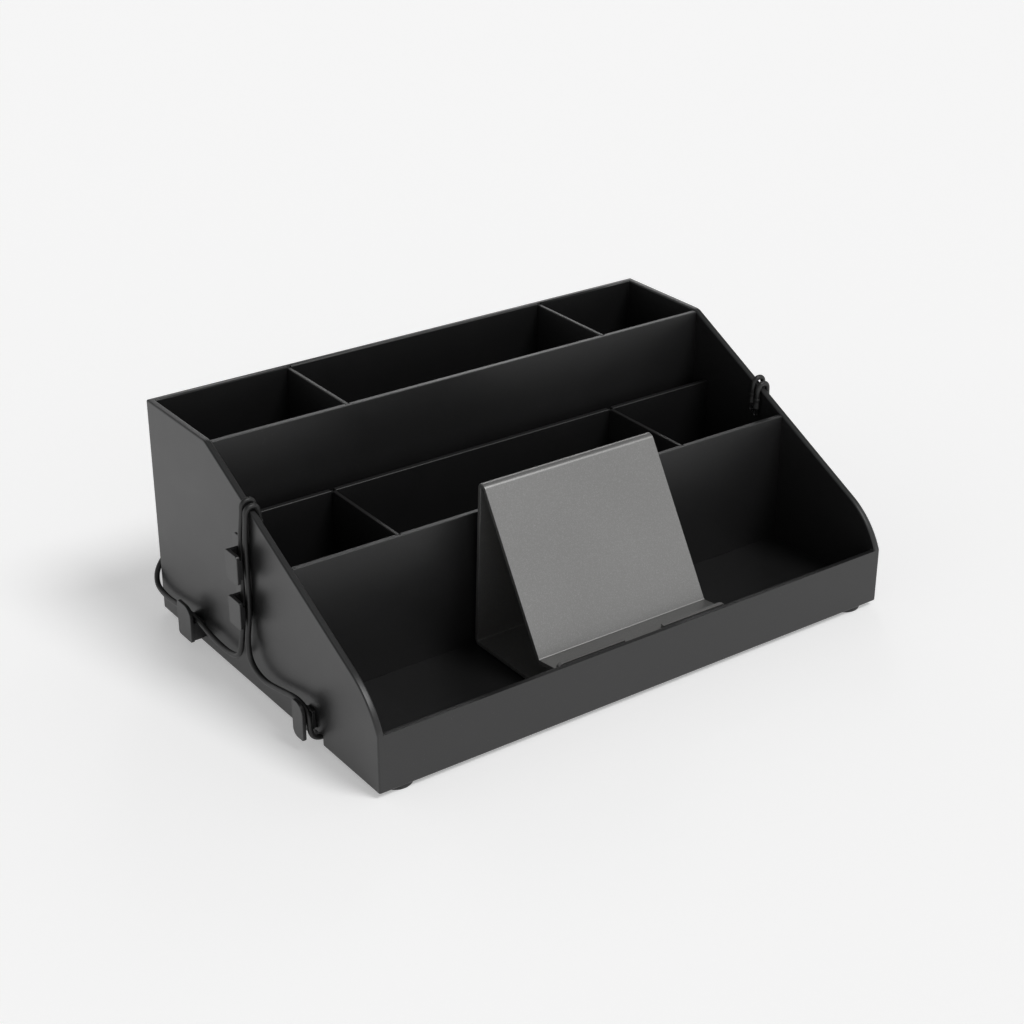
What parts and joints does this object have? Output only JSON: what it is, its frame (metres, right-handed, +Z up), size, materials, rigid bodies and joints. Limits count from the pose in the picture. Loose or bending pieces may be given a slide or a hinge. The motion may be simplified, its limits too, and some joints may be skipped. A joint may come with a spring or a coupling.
{
  "type": "desk organizer",
  "caption": "Stepped desk organizer: open bays behind slotted partitions, lift-out dividers, a bent phone stand in the front tray and clipped cable runs.",
  "frame": {"origin": "on the desk, under the middle of the overall outline, back clips included", "axes": "+X to the right along the length, the front faces -Y, +Z up"},
  "size_m": [0.3694, 0.2496, 0.137],
  "materials": {
    "body_plastic": "satin black, fine texture",
    "divider_plastic": "satin black, fine texture",
    "stand_steel": "satin black powder coat",
    "clip_plastic": "satin black moulding",
    "pad_foam": "black foam tape",
    "foot_rubber": "matte black rubber",
    "lead_rubber": "satin black cable jacket",
    "plug_metal": "polished contact barrel",
    "angle_steel": "black coated folded steel",
    "screw_steel": "zinc-plated pan head"
  },
  "bodies": {
    "tray": {"left_side_panel": "body_plastic", "right_side_panel": "body_plastic", "front_wall": "body_plastic", "back_panel": "body_plastic", "floor_panel": "body_plastic", "rear_partition": "body_plastic", "middle_partition": "body_plastic", "front_partition": "body_plastic", "foot_front_left": "foot_rubber", "foot_front_right": "foot_rubber", "foot_rear_left": "foot_rubber", "foot_rear_right": "foot_rubber", "left_twin_clip": "clip_plastic", "left_rear_clip": "clip_plastic", "left_front_clip": "clip_plastic", "right_twin_clip": "clip_plastic", "right_rear_clip": "clip_plastic", "right_front_clip": "clip_plastic", "back_left_clip": "clip_plastic", "back_middle_clip": "clip_plastic", "back_right_clip": "clip_plastic", "left_clip_pads": "pad_foam", "right_clip_pads": "pad_foam", "back_clip_pads": "pad_foam", "under_saddles": "clip_plastic", "left_base_angle": "angle_steel", "right_base_angle": "angle_steel", "base_screws": "screw_steel", "rear_lead": "lead_rubber", "front_lead": "lead_rubber", "rear_lead_left_boot": "lead_rubber", "rear_lead_left_barrel": "plug_metal", "rear_lead_right_boot": "lead_rubber", "rear_lead_right_barrel": "plug_metal", "front_lead_left_boot": "lead_rubber", "front_lead_left_barrel": "plug_metal", "front_lead_right_boot": "lead_rubber", "front_lead_right_barrel": "plug_metal"},
    "rear_left_divider": {"rear_left_divider": "divider_plastic"},
    "rear_right_divider": {"rear_right_divider": "divider_plastic"},
    "middle_left_divider": {"middle_left_divider": "divider_plastic"},
    "bay_divider": {"bay_divider": "divider_plastic"},
    "stand": {"phone_stand": "stand_steel", "stand_strips": "foot_rubber"}
  },
  "joints": [
    {"name": "rear_left_divider_lift", "type": "slide", "parent": "tray", "child": "rear_left_divider", "axis": [0, 0, 1], "range_m": [0, 0.13]},
    {"name": "rear_right_divider_lift", "type": "slide", "parent": "tray", "child": "rear_right_divider", "axis": [0, 0, 1], "range_m": [0, 0.13]},
    {"name": "middle_left_divider_lift", "type": "slide", "parent": "tray", "child": "middle_left_divider", "axis": [0, 0, 1], "range_m": [0, 0.09]},
    {"name": "bay_divider_lift", "type": "slide", "parent": "tray", "child": "bay_divider", "axis": [0, 0, 1], "range_m": [0, 0.09]},
    {"name": "stand_lift", "type": "slide", "parent": "tray", "child": "stand", "axis": [0, 0, 1], "range_m": [0, 0.06]}
  ]
}
